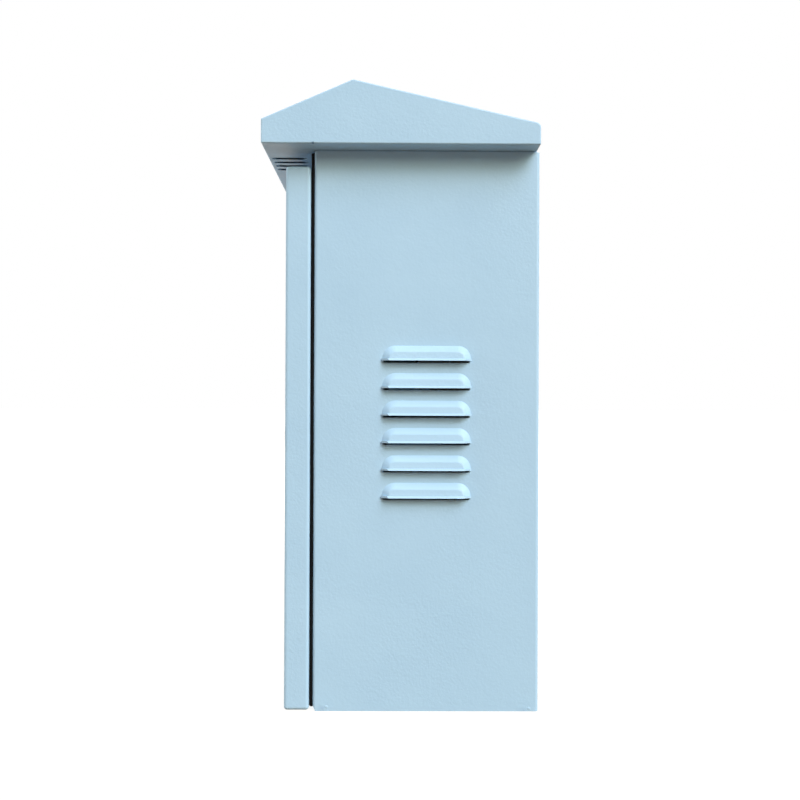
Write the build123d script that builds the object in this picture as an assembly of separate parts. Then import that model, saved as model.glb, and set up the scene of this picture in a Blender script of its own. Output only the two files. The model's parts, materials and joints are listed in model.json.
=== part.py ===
from build123d import *
from math import cos, radians, tan
import os

# A small outdoor sheet-steel utility cabinet with a gabled rain hood.
# Millimetres, +Z up, the door faces -Y, origin under the middle of the roof's outline.

# Body sheet
body_width = 400.0
body_depth = 181.0
body_height = 450.0
sheet = 1.5
bend_radius = 2.5
flange_width = 22.0
gutter_lip = 12.0
foot_relief_depth = 2.2
foot_relief_height = 4.5
wall_hole_radius = 5.0
wall_hole_inset = 30.0

# Door pan
door_thickness = 20.0
door_gap = 3.0
door_top_gap = 13.0
door_floor_gap = 0.5
door_lip = 12.0
gasket_width = 9.0
gasket_inset = 2.5
gasket_end_gap = 1.0
stiffener_width = 60.0
stiffener_crown = 30.0
stiffener_depth = 12.0
stiffener_end_gap = 31.0

# Roof hood
roof_side_overhang = 20.0
roof_front_overhang = 17.6
roof_rear_inset = 2.0
roof_reveal = 1.0
roof_rise = 50.6
front_fascia = 19.3
rear_fascia = 17.0
ridge_setback = 72.0
ridge_radius = 2.5
rear_eave_radius = 4.0
roof_edge_radius = 1.2
side_seat = 16.0
front_seat = 15.0
rear_seat = 15.0
relief_width = 2.0
relief_depth = 1.2
roof_bolt_inset = 70.0

# Vent slots in the soffit, a group at each end
soffit_slot_count = 4
soffit_slot_length = 29.0
soffit_slot_width = 5.8
soffit_slot_pitch = 12.6
soffit_slot_first = 48.7
soffit_slot_front = 3.0
soffit_slot_flare = 3.5

# Vent slots in the top plate
top_slot_count = 9
top_slot_length = 70.0
top_slot_width = 6.0
top_slot_pitch = 16.0

# Pressed louvres
louvre_count = 6
louvre_length = 71.3
louvre_height = 12.0
louvre_pitch = 22.0
louvre_projection = 5.0
louvre_corner = 10.5
louvre_land_drop = 1.5
louvre_land_radius = 2.0
louvre_slope = 50.0
louvre_slit = 1.7
louvre_slit_inset = 1.0
louvre_drip = 1.2
louvre_drip_height = 1.7
lowest_louvre_lip = 171.1

# Lift-off hinges
hinge_inset = 85.0
hinge_height = 60.0
hinge_barrel_radius = 6.0
hinge_pin_radius = 4.0
hinge_leaf_sheet = 2.5
hinge_leaf_length = 32.0
hinge_side_gap = 0.5
hinge_washer = 1.0
hinge_cap = 4.0
hinge_leaf_corner = 3.0

# Quarter-turn lock
lock_inset = 50.0
lock_bezel_radius = 16.0
lock_bezel = 4.0
lock_bezel_bevel = 1.5
lock_barrel_radius = 11.0
lock_core_radius = 7.0
lock_recess = 5.0
lock_core_rim = 1.5
lock_drive_radius = 4.6
lock_drive_setback = 0.75
lock_tail_width = 8.0
lock_nut_width = 30.0
lock_nut_thickness = 6.0
lock_cam_length = 40.0
lock_cam_width = 16.0
lock_cam_sheet = 3.0
lock_cam_clearance = 1.5
lock_screw_radius = 5.5
lock_screw_head = 3.5
lock_screw_shank = 2.5
lock_screw_length = 6.0

# Mounting plate on its four studs
plate_side_gap = 50.0
plate_top_gap = 50.0
plate_bottom = 60.0
plate_sheet = 2.0
plate_standoff = 25.0
plate_return = 10.0
stud_inset = 18.0
stud_radius = 3.0
stud_tail = 10.0
spacer_radius = 6.0
nut_width = 10.0
nut_thickness = 5.0

# Mounting rail
rail_drop = 115.0
rail_end_gap = 20.0
rail_width = 35.0
rail_base = 25.0
rail_depth = 7.5
rail_sheet = 1.0
rail_bend = 1.6
rail_screw_inset = 12.0
rail_screw_radius = 4.0
rail_screw_head = 2.5
rail_screw_shank = 2.0
rail_stop_width = 9.0
rail_stop_height = 46.0
rail_stop_depth = 30.0

# Circuit breakers
branch_count = 6
main_poles = 3
pole_pitch = 18.0
pole_gap = 0.4
case_height = 82.0
case_back = 5.0
case_shoulder = 40.0
case_nose = 58.0
nose_height = 45.0
case_edge = 1.2
case_groove = 0.7
case_groove_width = 0.6
terminal_radius = 3.0
terminal_depth = 7.0
terminal_inset = 8.5
terminal_screw = 3.0
wire_entry_width = 8.0
wire_entry_depth = 10.0
wire_entry_setback = 18.0
toggle_hub_radius = 6.5
toggle_hub_setback = 4.0
toggle_width = 7.4
toggle_reach = 15.0
toggle_root = 3.2
toggle_tip = 2.4
toggle_tip_radius = 0.8
toggle_half_travel = 35.0
toggle_bar_inner = 10.5

# Neutral and earth bars
bar_drop = 135.0
bar_length = 112.0
bar_depth = 8.0
bar_width = 10.0
bar_edge_radius = 1.2
bar_gap = 34.0
bar_standoff = 24.0
bar_support_width = 12.0
bar_support_height = 22.0
bar_support_bevel = 1.5
bar_terminal_count = 6
bar_terminal_pitch = 14.0
bar_screw_radius = 3.0
bar_screw_head = 2.2
bar_screw_shank = 2.0
bar_screw_reach = 2.0
bar_wire_width = 5.0
bar_wire_wall = 0.75

# Cable entry in the bottom plate
entry_width = 190.0
entry_depth = 66.0
entry_setback = 74.0
gland_margin = 16.0
gland_sheet = 2.0
gland_gasket = 2.0
gland_corner = 6.0
gland_screw_radius = 4.0
gland_screw_head = 2.5
gland_screw_shank = 2.0
grommet_count = 3
grommet_pitch = 58.0
grommet_hole_radius = 16.0
grommet_flange = 4.0
grommet_lip = 1.5
grommet_dome = 7.0
grommet_tip_radius = 6.0
grommet_wall = 1.5

# Earth studs and small bolts
earth_stud_radius = 3.0
earth_stud_length = 20.0
earth_inset = 48.0
bolt_radius = 3.0
bolt_head_radius = 5.5
bolt_head = 3.0

# Clearances
fit_gap = 0.05
running_gap = 0.3
overrun = 1.0

# Planes that the pieces share
half_width = body_width / 2
back_y = (roof_front_overhang + door_thickness + door_gap + body_depth) / 2
roof_front_y = -back_y
roof_back_y = back_y - roof_rear_inset
body_front_y = back_y - body_depth
door_back_y = body_front_y - door_gap
door_front_y = door_back_y - door_thickness
door_inner_y = door_front_y + sheet
back_inner_y = back_y - sheet
body_middle_y = (body_front_y + back_y) / 2
door_bottom_z = door_floor_gap
door_top_z = body_height - door_top_gap
gutter_x = half_width - flange_width
gutter_tip_y = body_front_y - gutter_lip
gutter_bottom_z = door_bottom_z + flange_width
gutter_top_z = door_top_z - flange_width
inner_bend = bend_radius - sheet
seam_x = gutter_x + inner_bend
roof_half_width = half_width + roof_side_overhang
hinge_x = -(half_width + hinge_side_gap + hinge_barrel_radius)
hinge_y = (body_front_y + door_back_y) / 2
lock_x = half_width - lock_inset
lock_z = (door_bottom_z + door_top_z) / 2
lock_cam_y = body_front_y + sheet + lock_cam_clearance
lock_barrel_end_y = lock_cam_y - running_gap
plate_width = body_width - 2 * plate_side_gap
plate_top = body_height - plate_top_gap
plate_back_y = back_inner_y - plate_standoff
plate_front_y = plate_back_y - plate_sheet
rail_height = plate_top - rail_drop
rail_length = plate_width - 2 * rail_end_gap
rail_front_y = plate_front_y - rail_depth
rail_recess = rail_width / 2 + running_gap
toggle_y = rail_front_y - case_nose + toggle_hub_setback
bar_height = rail_height - bar_drop
entry_y = back_y - entry_setback
gland_bottom_z = sheet + gland_gasket
earth_stud_x = -half_width + earth_inset
door_stud_z = door_bottom_z + earth_inset


def block(x_span, y_span, z_span):
    """Box between the low and high values of each axis."""
    spans = (x_span, y_span, z_span)
    middle = [(low + high) / 2 for low, high in spans]
    return Pos(*middle) * Box(*[high - low for low, high in spans])


def mirrored(x_low, x_high):
    """The two spans that lie alike on either side of the middle."""
    return (x_low, x_high), (-x_high, -x_low)


def rod_x(y, z, x_span, radius):
    """Cylinder that lies along X."""
    low, high = x_span
    return Pos((low + high) / 2, y, z) * Rot(0, 90, 0) * Cylinder(radius, high - low)


def rod_y(x, z, y_span, radius):
    """Cylinder that lies along Y."""
    low, high = y_span
    return Pos(x, (low + high) / 2, z) * Rot(90, 0, 0) * Cylinder(radius, high - low)


def rod_z(x, y, z_span, radius):
    """Upright cylinder."""
    low, high = z_span
    return Pos(x, y, (low + high) / 2) * Cylinder(radius, high - low)


def hexagon_y(x, z, y_span, width):
    """Hexagonal prism along Y, measured across its flats."""
    low, high = y_span
    outline = Plane.XZ.offset(-high) * Pos(x, z) * RegularPolygon(width / 2, 6, major_radius=False)
    return extrude(outline, high - low)


def hexagon_z(x, y, z_span, width):
    """Upright hexagonal prism, measured across its flats."""
    low, high = z_span
    outline = Pos(x, y, low) * RegularPolygon(width / 2, 6, major_radius=False)
    return extrude(outline, high - low)


def folded_section(points, radii, thickness, side):
    """Section of a folded sheet, laid to one side of the line through the points."""
    line = FilletPolyline(*points, radius=radii)
    return make_face(offset(line, thickness, side=side))


def along_x(section, x_span):
    """Prism along X of a section drawn in Y and Z."""
    low, high = x_span
    return extrude(Plane.YZ.offset(low) * section, high - low)


def louvre_form(shrink, depth_shift, land_radius):
    """Raised form of a louvre on the right-hand wall, with its mirror image below the lip."""
    width = louvre_length - 2 * shrink
    height = louvre_height - shrink
    outline = RectangleRounded(width, 2 * height, louvre_corner - shrink)
    form = extrude(outline, louvre_projection, taper=louvre_slope)
    shoulder = louvre_projection - louvre_land_drop
    for far_y in (-height, height):
        points = [(0, louvre_projection), (far_y, shoulder), (far_y, louvre_projection + overrun)]
        wedge = make_face(Polyline(*points, (0, louvre_projection + overrun), close=True))
        form -= along_x(wedge, (-width / 2, width / 2))
    lands = form.faces().sort_by(Axis.Z)[-2:]
    ridge = form.edges().sort_by(Axis.Z)[-1]
    rims = [edge for land in lands for edge in land.edges() if not edge.is_same(ridge)]
    form = fillet(rims, land_radius)
    origin = (half_width - depth_shift, body_middle_y, 0)
    return Plane(origin=origin, x_dir=(0, 1, 0), z_dir=(1, 0, 0)) * form


def louvres():
    """Solids to add to and cut from the right-hand wall for its column of louvres."""
    slope = radians(louvre_slope)
    growth_share = 1 / cos(slope) - tan(slope)
    x_span = (half_width - sheet - overrun, half_width + louvre_projection + overrun)
    y_span = (body_middle_y - louvre_length, body_middle_y + louvre_length)
    z_top = louvre_height + overrun
    raised = louvre_form(0, 0, louvre_land_radius) & block(x_span, y_span, (0, z_top))
    hollow = louvre_form(growth_share * sheet, sheet, louvre_land_radius - sheet / 2)
    hollow &= block(x_span, y_span, (-louvre_slit, z_top))
    land_x = half_width + louvre_projection
    edge = [(half_width, 0), (land_x + louvre_drip, 0)]
    edge += [(land_x, louvre_drip_height), (half_width, louvre_drip_height)]
    drip = Plane.XZ.offset(-body_middle_y) * make_face(Polyline(*edge, close=True))
    drip = extrude(drip, louvre_length, both=True)
    raised += drip & louvre_form(-growth_share * louvre_drip, -louvre_drip, louvre_land_radius)
    half_slit = louvre_length / 2 - louvre_slit_inset
    slit = block(
        (half_width - sheet - overrun, half_width + overrun),
        (body_middle_y - half_slit, body_middle_y + half_slit),
        (-louvre_slit, 0),
    )
    lips = [lowest_louvre_lip + row * louvre_pitch for row in range(louvre_count)]
    added = [Pos(0, 0, lip) * raised for lip in lips]
    removed = [Pos(0, 0, lip) * piece for lip in lips for piece in (hollow, slit)]
    return added, removed


def body_wrapper():
    """Both sides and the back folded from one sheet, with front flanges and gutter lips."""
    right = [
        (gutter_x, gutter_tip_y),
        (gutter_x, body_front_y),
        (half_width, body_front_y),
        (half_width, back_y),
    ]
    left = [(-x, y) for x, y in reversed(right)]
    radii = [inner_bend, bend_radius, bend_radius]
    section = folded_section(right + left, radii + radii[::-1], sheet, Side.LEFT)
    wrapper = extrude(section, body_height - roof_reveal)
    for z_span in ((-overrun, gutter_bottom_z), (gutter_top_z, body_height + overrun)):
        lip_end = block((-seam_x, seam_x), (gutter_tip_y - overrun, body_front_y + sheet + overrun), z_span)
        wrapper -= lip_end
    front = body_front_y - overrun
    relief_back = body_front_y + foot_relief_depth
    relief = [(front, 0), (relief_back, 0), (body_front_y, foot_relief_height), (front, foot_relief_height)]
    wrapper -= along_x(make_face(Polyline(*relief, close=True)), (-half_width, half_width))
    added, removed = louvres()
    wrapper += added + [mirror(piece, Plane.YZ) for piece in added]
    wrapper -= removed + [mirror(piece, Plane.YZ) for piece in removed]
    for x in (-half_width + wall_hole_inset, half_width - wall_hole_inset):
        for z in (wall_hole_inset, body_height - wall_hole_inset):
            wrapper -= rod_y(x, z, (back_inner_y - overrun, back_y + overrun), wall_hole_radius)
    return wrapper


def closing_plate(flange_height):
    """Plate that closes an end of the body, with its front flange and gutter lip turned up."""
    points = [
        (back_inner_y, 0),
        (body_front_y, 0),
        (body_front_y, flange_height),
        (gutter_tip_y, flange_height),
    ]
    section = folded_section(points, [bend_radius, inner_bend], sheet, Side.RIGHT)
    plate = along_x(section, (-seam_x, seam_x))
    for x_span in mirrored(gutter_x - sheet, seam_x + overrun):
        lip_end = block(
            x_span,
            (gutter_tip_y - overrun, body_front_y + sheet + overrun),
            (flange_height - inner_bend, flange_height + sheet + overrun),
        )
        plate -= lip_end
    inner_x = half_width - sheet
    wings = block((-inner_x, inner_x), (body_front_y + sheet, back_inner_y), (0, sheet))
    wings = fillet(wings.edges().filter_by(Axis.Z), bend_radius)
    return plate + wings


def bottom_plate():
    """Bottom of the body, with the opening that the gland plate covers."""
    plate = closing_plate(gutter_bottom_z)
    opening = block(
        (-entry_width / 2, entry_width / 2),
        (entry_y - entry_depth / 2, entry_y + entry_depth / 2),
        (-overrun, sheet + overrun),
    )
    plate -= fillet(opening.edges().filter_by(Axis.Z), gland_corner)
    for x, y in gland_screw_places():
        plate -= rod_z(x, y, (-overrun, sheet + overrun), gland_screw_shank + fit_gap)
    return plate


def top_plate():
    """Top of the body, slotted so that warm air reaches the roof space."""
    plate = closing_plate(body_height - gutter_top_z)
    plate = Pos(0, 0, body_height) * Rot(0, 180, 0) * plate
    for column in range(top_slot_count):
        x = (column - (top_slot_count - 1) / 2) * top_slot_pitch
        slot = Pos(x, body_middle_y, body_height - sheet / 2) * SlotOverall(
            top_slot_length, top_slot_width, rotation=90
        )
        plate -= extrude(slot, sheet + overrun, both=True)
    for x, y in roof_bolt_places():
        plate -= rod_z(x, y, (body_height - sheet - overrun, body_height + overrun), bolt_radius + fit_gap)
    return plate


def roof_bolt_places():
    """Where the roof flanges are bolted down to the top plate."""
    x = half_width - sheet - (side_seat - sheet) / 2
    y_places = (body_front_y + roof_bolt_inset, back_y - roof_bolt_inset)
    return [(side * x, y) for side in (-1, 1) for y in y_places]


def roof_outline():
    """Gable outline of the hood in Y and Z."""
    points = [
        (roof_front_y, body_height),
        (roof_front_y, body_height + front_fascia),
        (roof_front_y + ridge_setback, body_height + roof_rise),
        (roof_back_y, body_height + rear_fascia),
        (roof_back_y, body_height),
    ]
    radii = [roof_edge_radius, roof_edge_radius, ridge_radius, rear_eave_radius, roof_edge_radius]
    return make_face(FilletPolyline(*points, radius=radii, close=True))


def soffit_slot(row):
    """Cutter for one vent slot near the right-hand end, flared towards the roof space."""
    x = roof_half_width - soffit_slot_first - row * soffit_slot_pitch
    y = roof_front_y + soffit_slot_front + soffit_slot_length / 2
    slot = Pos(x, y, body_height) * SlotOverall(soffit_slot_length, soffit_slot_width, rotation=90)
    inner_x = x - soffit_slot_width / 2
    top_z = body_height + sheet
    corners = [(inner_x, body_height), (inner_x, top_z), (inner_x - soffit_slot_flare, top_z)]
    flare = Plane.XZ.offset(-y) * make_face(Polyline(*corners, close=True))
    half_straight = (soffit_slot_length - soffit_slot_width) / 2
    return extrude(slot, sheet + overrun, both=True) + extrude(flare, half_straight, both=True)


def roof_hood():
    """Welded hood: gables, slopes and fascias, with flanges turned in along the bottom."""
    outline = roof_outline()
    hood = along_x(outline, (-roof_half_width, roof_half_width))
    ends = hood.faces().filter_by(Plane.YZ)
    hood = fillet([edge for end in ends for edge in end.edges()], roof_edge_radius)
    inner_x = roof_half_width - sheet
    hood -= along_x(offset(outline, -sheet), (-inner_x, inner_x))
    opening_x = half_width - side_seat
    hood -= block(
        (-opening_x, opening_x),
        (body_front_y + front_seat, back_y - rear_seat),
        (body_height - overrun, body_height + sheet + overrun),
    )
    slots = [soffit_slot(row) for row in range(soffit_slot_count)]
    relief = block(
        (roof_half_width - sheet - overrun, roof_half_width + overrun),
        (body_front_y - relief_width / 2, body_front_y + relief_width / 2),
        (body_height - overrun, body_height + relief_depth),
    )
    for cut in slots + [relief]:
        hood -= [cut, mirror(cut, Plane.YZ)]
    for x, y in roof_bolt_places():
        hood -= rod_z(x, y, (body_height - overrun, body_height + sheet + overrun), bolt_radius + fit_gap)
    return hood


def roof_bolts():
    """Four bolts up through the top plate and the roof flanges."""
    shank_top = body_height + sheet + nut_thickness + fit_gap
    bolts = []
    for x, y in roof_bolt_places():
        shank = rod_z(x, y, (body_height - sheet, shank_top), bolt_radius)
        head = rod_z(x, y, (body_height - sheet - bolt_head, body_height - sheet), bolt_head_radius)
        bolts.append(shank + head)
    return Compound(bolts)


def roof_nuts():
    """Nuts on the roof bolts, inside the hood."""
    z_span = (body_height + sheet, body_height + sheet + nut_thickness)
    nuts = []
    for x, y in roof_bolt_places():
        bore = rod_z(x, y, z_span, bolt_radius + fit_gap)
        nuts.append(hexagon_z(x, y, z_span, nut_width) - bore)
    return Compound(nuts)


def door_panel():
    """Door pan: face, four returns and their turned-in lips."""
    outer = block((-half_width, half_width), (door_front_y, door_back_y), (door_bottom_z, door_top_z))
    hollow = block(
        (-half_width + sheet, half_width - sheet),
        (door_inner_y, door_back_y - sheet),
        (door_bottom_z + sheet, door_top_z - sheet),
    )
    opening = block(
        (-half_width + door_lip, half_width - door_lip),
        (door_back_y - sheet - overrun, door_back_y + overrun),
        (door_bottom_z + door_lip, door_top_z - door_lip),
    )
    pan = fillet(outer.edges(), bend_radius) - fillet(hollow.edges(), inner_bend) - opening
    return pan - rod_y(lock_x, lock_z, (door_front_y - overrun, door_inner_y + overrun), lock_barrel_radius)


def door_gasket():
    """Rubber seal on the body's front flanges, just clear of the closed door's lips."""
    outer_x = half_width - gasket_inset
    y_span = (door_back_y + running_gap, body_front_y)
    low_z = door_bottom_z + gasket_inset
    high_z = door_top_z - gasket_inset
    seal = block((-outer_x, outer_x), y_span, (low_z, low_z + gasket_width))
    seal += block((-outer_x, outer_x), y_span, (high_z - gasket_width, high_z))
    for x_span in mirrored(outer_x - gasket_width, outer_x):
        seal += block(x_span, y_span, (foot_relief_height, body_height - roof_reveal - gasket_end_gap))
    return seal


def door_stiffener():
    """Hat channel welded down the middle of the door, clear of the gutter lips."""
    brim = stiffener_width / 2
    crown = stiffener_crown / 2
    base = door_inner_y + sheet
    top = door_inner_y + stiffener_depth
    points = [(-brim, base), (-crown, base), (-crown, top), (crown, top), (crown, base), (brim, base)]
    section = folded_section(points, [inner_bend, bend_radius, bend_radius, inner_bend], sheet, Side.RIGHT)
    low_z = gutter_bottom_z + stiffener_end_gap
    return Pos(0, 0, low_z) * extrude(section, gutter_top_z - stiffener_end_gap - low_z)


def hinge_leaf(y_span, tongue_y_span, z_span, knuckle_span, bore_span):
    """Leaf against the left-hand side with its knuckle on the hinge line."""
    plate_x = (-half_width - hinge_leaf_sheet, -half_width)
    leaf = block(plate_x, y_span, z_span)
    leaf = fillet(leaf.edges().filter_by(Axis.X), hinge_leaf_corner)
    leaf += block((plate_x[0], -half_width - hinge_side_gap), tongue_y_span, knuckle_span)
    leaf += rod_z(hinge_x, hinge_y, knuckle_span, hinge_barrel_radius)
    return leaf - rod_z(hinge_x, hinge_y, bore_span, hinge_pin_radius + fit_gap)


def hinge(middle_z):
    """Frame leaf, door leaf, pin and washer of one lift-off hinge."""
    low = middle_z - hinge_height / 2
    high = middle_z + hinge_height / 2
    clear = hinge_barrel_radius + hinge_side_gap
    lower = (low, middle_z - hinge_washer / 2)
    upper = (middle_z + hinge_washer / 2 + fit_gap, high)
    bore_top = high - hinge_cap
    frame_leaf = hinge_leaf(
        (hinge_y + clear, hinge_y + hinge_leaf_length),
        (hinge_y, hinge_y + clear + hinge_leaf_corner),
        (low, high),
        lower,
        (low - overrun, middle_z),
    )
    door_leaf = hinge_leaf(
        (door_front_y + hinge_side_gap + bend_radius, hinge_y - clear),
        (hinge_y - clear - hinge_leaf_corner, hinge_y),
        (low, high),
        upper,
        (middle_z, bore_top),
    )
    pin = rod_z(hinge_x, hinge_y, (low, bore_top - running_gap), hinge_pin_radius)
    washer_span = (lower[1], lower[1] + hinge_washer)
    washer = rod_z(hinge_x, hinge_y, washer_span, hinge_barrel_radius)
    washer -= rod_z(hinge_x, hinge_y, washer_span, hinge_pin_radius + fit_gap)
    return frame_leaf, door_leaf, pin, washer


def lock_housing():
    """Round bezel and threaded barrel of the lock, through the door."""
    bezel = rod_y(lock_x, lock_z, (door_front_y - lock_bezel, door_front_y), lock_bezel_radius)
    front_rim = bezel.edges().sort_by(Axis.Y)[0]
    housing = chamfer(front_rim, lock_bezel_bevel)
    housing += rod_y(lock_x, lock_z, (door_front_y, lock_barrel_end_y), lock_barrel_radius - fit_gap)
    bore = (door_front_y - lock_bezel - overrun, lock_barrel_end_y + overrun)
    return housing - rod_y(lock_x, lock_z, bore, lock_core_radius + fit_gap)


def lock_nut():
    """Nut that clamps the lock to the door from inside."""
    y_span = (door_inner_y, door_inner_y + lock_nut_thickness)
    nut = hexagon_y(lock_x, lock_z, y_span, lock_nut_width)
    return nut - rod_y(lock_x, lock_z, y_span, lock_barrel_radius)


def lock_core():
    """Turning core with a three-cornered drive in its recess and a square tail."""
    front_y = door_front_y - lock_bezel
    core = rod_y(lock_x, lock_z, (front_y, lock_cam_y), lock_core_radius)
    floor_y = front_y + lock_recess
    core -= rod_y(lock_x, lock_z, (front_y - overrun, floor_y), lock_core_radius - lock_core_rim)
    drive = Plane.XZ.offset(-floor_y) * Pos(lock_x, lock_z) * RegularPolygon(lock_drive_radius, 3)
    core += extrude(drive, lock_recess - lock_drive_setback)
    half_tail = lock_tail_width / 2
    core += block(
        (lock_x - half_tail, lock_x + half_tail),
        (lock_cam_y, lock_cam_y + lock_cam_sheet),
        (lock_z - half_tail, lock_z + half_tail),
    )
    tail_end = lock_cam_y + lock_cam_sheet
    bore = (tail_end - lock_screw_length, tail_end)
    return core - rod_y(lock_x, lock_z, bore, lock_screw_shank + fit_gap)


def lock_cam():
    """Cam on the core's tail, hanging down in the unlocked position."""
    half_hole = lock_tail_width / 2 + fit_gap
    length = lock_cam_length + lock_cam_width / 2
    outline = Pos(lock_x, lock_z + lock_cam_width / 2 - length / 2) * SlotOverall(
        length, lock_cam_width, rotation=90
    )
    outline -= Pos(lock_x, lock_z) * Rectangle(2 * half_hole, 2 * half_hole)
    return extrude(Plane.XZ.offset(-lock_cam_y) * outline, -lock_cam_sheet)


def lock_cam_screw():
    """Screw that holds the cam on the core."""
    seat = lock_cam_y + lock_cam_sheet
    screw = rod_y(lock_x, lock_z, (seat, seat + lock_screw_head), lock_screw_radius)
    return screw + rod_y(lock_x, lock_z, (seat - lock_screw_length + running_gap, seat), lock_screw_shank)


def stud_places():
    """Where the mounting plate hangs on the back wall."""
    x = plate_width / 2 - stud_inset
    z_places = (plate_bottom + stud_inset, plate_top - stud_inset)
    return [(side * x, z) for side in (-1, 1) for z in z_places]


def mounting_plate():
    """Galvanised plate with its long edges turned back."""
    half = plate_width / 2
    return_y = plate_front_y + plate_return
    points = [(-half, return_y), (-half, plate_front_y), (half, plate_front_y), (half, return_y)]
    radius = bend_radius + plate_sheet - sheet
    section = folded_section(points, [radius, radius], plate_sheet, Side.LEFT)
    plate = Pos(0, 0, plate_bottom) * extrude(section, plate_top - plate_bottom)
    span = (plate_front_y - overrun, plate_back_y + overrun)
    for x, z in stud_places():
        plate -= rod_y(x, z, span, stud_radius + fit_gap)
    for x in rail_screw_places():
        plate -= rod_y(x, rail_height, span, rail_screw_shank + fit_gap)
    return plate


def plate_studs():
    """Studs welded to the back wall."""
    tip_y = plate_front_y - nut_thickness - stud_tail
    return Compound([rod_y(x, z, (tip_y, back_inner_y), stud_radius) for x, z in stud_places()])


def plate_spacers():
    """Sleeves that hold the mounting plate off the back wall."""
    span = (plate_back_y, back_inner_y)
    spacers = []
    for x, z in stud_places():
        bore = rod_y(x, z, span, stud_radius + fit_gap)
        spacers.append(rod_y(x, z, span, spacer_radius) - bore)
    return Compound(spacers)


def plate_nuts():
    """Nuts on the mounting plate's studs."""
    span = (plate_front_y - nut_thickness, plate_front_y)
    nuts = []
    for x, z in stud_places():
        bore = rod_y(x, z, span, stud_radius + fit_gap)
        nuts.append(hexagon_y(x, z, span, nut_width) - bore)
    return Compound(nuts)


def rail_screw_places():
    """Where the rail is screwed to the mounting plate."""
    x = rail_length / 2 - rail_screw_inset
    return -x, x


def mounting_rail():
    """Top-hat rail across the mounting plate."""
    lip = rail_width / 2
    wall = rail_base / 2
    front = rail_front_y
    back = plate_front_y
    points = [(front, -lip), (front, -wall), (back, -wall), (back, wall), (front, wall), (front, lip)]
    shifted = [(y + rail_sheet if y == front else y, z) for y, z in points]
    radii = [rail_bend - rail_sheet, rail_bend, rail_bend, rail_bend - rail_sheet]
    section = folded_section(shifted, radii, rail_sheet, Side.LEFT)
    rail = Pos(0, 0, rail_height) * along_x(section, (-rail_length / 2, rail_length / 2))
    for x in rail_screw_places():
        span = (plate_front_y - rail_sheet - overrun, plate_front_y + overrun)
        rail -= rod_y(x, rail_height, span, rail_screw_shank + fit_gap)
    return rail


def rail_screws():
    """Screws through the rail into the mounting plate."""
    seat = plate_front_y - rail_sheet
    screws = []
    for x in rail_screw_places():
        head = rod_y(x, rail_height, (seat - rail_screw_head, seat), rail_screw_radius)
        screws.append(head + rod_y(x, rail_height, (seat, plate_back_y), rail_screw_shank))
    return Compound(screws)


def case_outline():
    """Stepped side outline of a breaker, in Y and Z about the rail."""
    half = case_height / 2
    nose = nose_height / 2
    back = rail_front_y + case_back
    shoulder = rail_front_y - case_shoulder
    front = rail_front_y - case_nose
    upper = [
        (rail_front_y, rail_recess),
        (back, rail_recess),
        (back, half),
        (shoulder, half),
        (shoulder, nose),
        (front, nose),
    ]
    lower = [(y, -z) for y, z in reversed(upper)]
    radii = [0, 0, case_edge, case_edge, case_edge, case_edge]
    return make_face(FilletPolyline(*upper, *lower, radius=radii + radii[::-1], close=True))


def pole_middles(first_pole, poles):
    """Middle of each pole of a breaker along the rail."""
    start = -(main_poles + branch_count) * pole_pitch / 2
    return [start + pole_pitch / 2 + (first_pole + pole) * pole_pitch for pole in range(poles)]


def terminal_heights():
    """Heights of a breaker's upper and lower terminals."""
    reach = case_height / 2 - terminal_inset
    return rail_height - reach, rail_height + reach


def breaker_case(first_pole, poles):
    """Moulded case of a breaker on the rail, with pockets for toggles, terminals and wires."""
    middles = pole_middles(first_pole, poles)
    half_pole = (pole_pitch - pole_gap) / 2
    outline = Pos(0, rail_height) * case_outline()
    case = along_x(outline, (middles[0] - half_pole, middles[-1] + half_pole))
    rim = outline - offset(outline, -case_groove)
    for left, right in zip(middles, middles[1:]):
        seam = (left + right) / 2
        case -= along_x(rim, (seam - case_groove_width / 2, seam + case_groove_width / 2))
    shoulder = rail_front_y - case_shoulder
    well_span = (shoulder - overrun, shoulder + terminal_depth)
    wire_y = shoulder + wire_entry_setback
    half_wire = wire_entry_width / 2
    half_hub = toggle_width / 2 + running_gap
    half = case_height / 2
    wire_spans = ((half - wire_entry_depth, half + overrun), (-half - overrun, wire_entry_depth - half))
    for x in middles:
        hub_span = (x - half_hub, x + half_hub)
        case -= rod_x(toggle_y, rail_height, hub_span, toggle_hub_radius + running_gap)
        for z in terminal_heights():
            case -= rod_y(x, z, well_span, terminal_radius + running_gap)
        for low, high in wire_spans:
            case -= block(
                (x - half_wire, x + half_wire),
                (wire_y - half_wire, wire_y + half_wire),
                (rail_height + low, rail_height + high),
            )
    return case


def breaker_toggle(first_pole, poles):
    """Toggle of a breaker in its lower position, tied across where it has several poles."""
    middles = pole_middles(first_pole, poles)
    root = toggle_root / 2
    tip = toggle_tip / 2
    points = [(0, -root), (-toggle_reach, -tip), (-toggle_reach, tip), (0, root)]
    radii = [0, toggle_tip_radius, toggle_tip_radius, 0]
    paddle = make_face(FilletPolyline(*points, radius=radii, close=True))
    bar = make_face(
        FilletPolyline(
            (-toggle_bar_inner, -tip),
            (-toggle_reach, -tip),
            (-toggle_reach, tip),
            (-toggle_bar_inner, tip),
            radius=toggle_tip_radius,
            close=True,
        )
    )
    half = toggle_width / 2
    toggle = Part()
    for x in middles:
        toggle += rod_x(0, 0, (x - half, x + half), toggle_hub_radius)
        toggle += along_x(paddle, (x - half, x + half))
    if poles > 1:
        toggle += along_x(bar, (middles[0] - half, middles[-1] + half))
    return Pos(0, toggle_y, rail_height) * Rot(toggle_half_travel, 0, 0) * toggle


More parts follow.
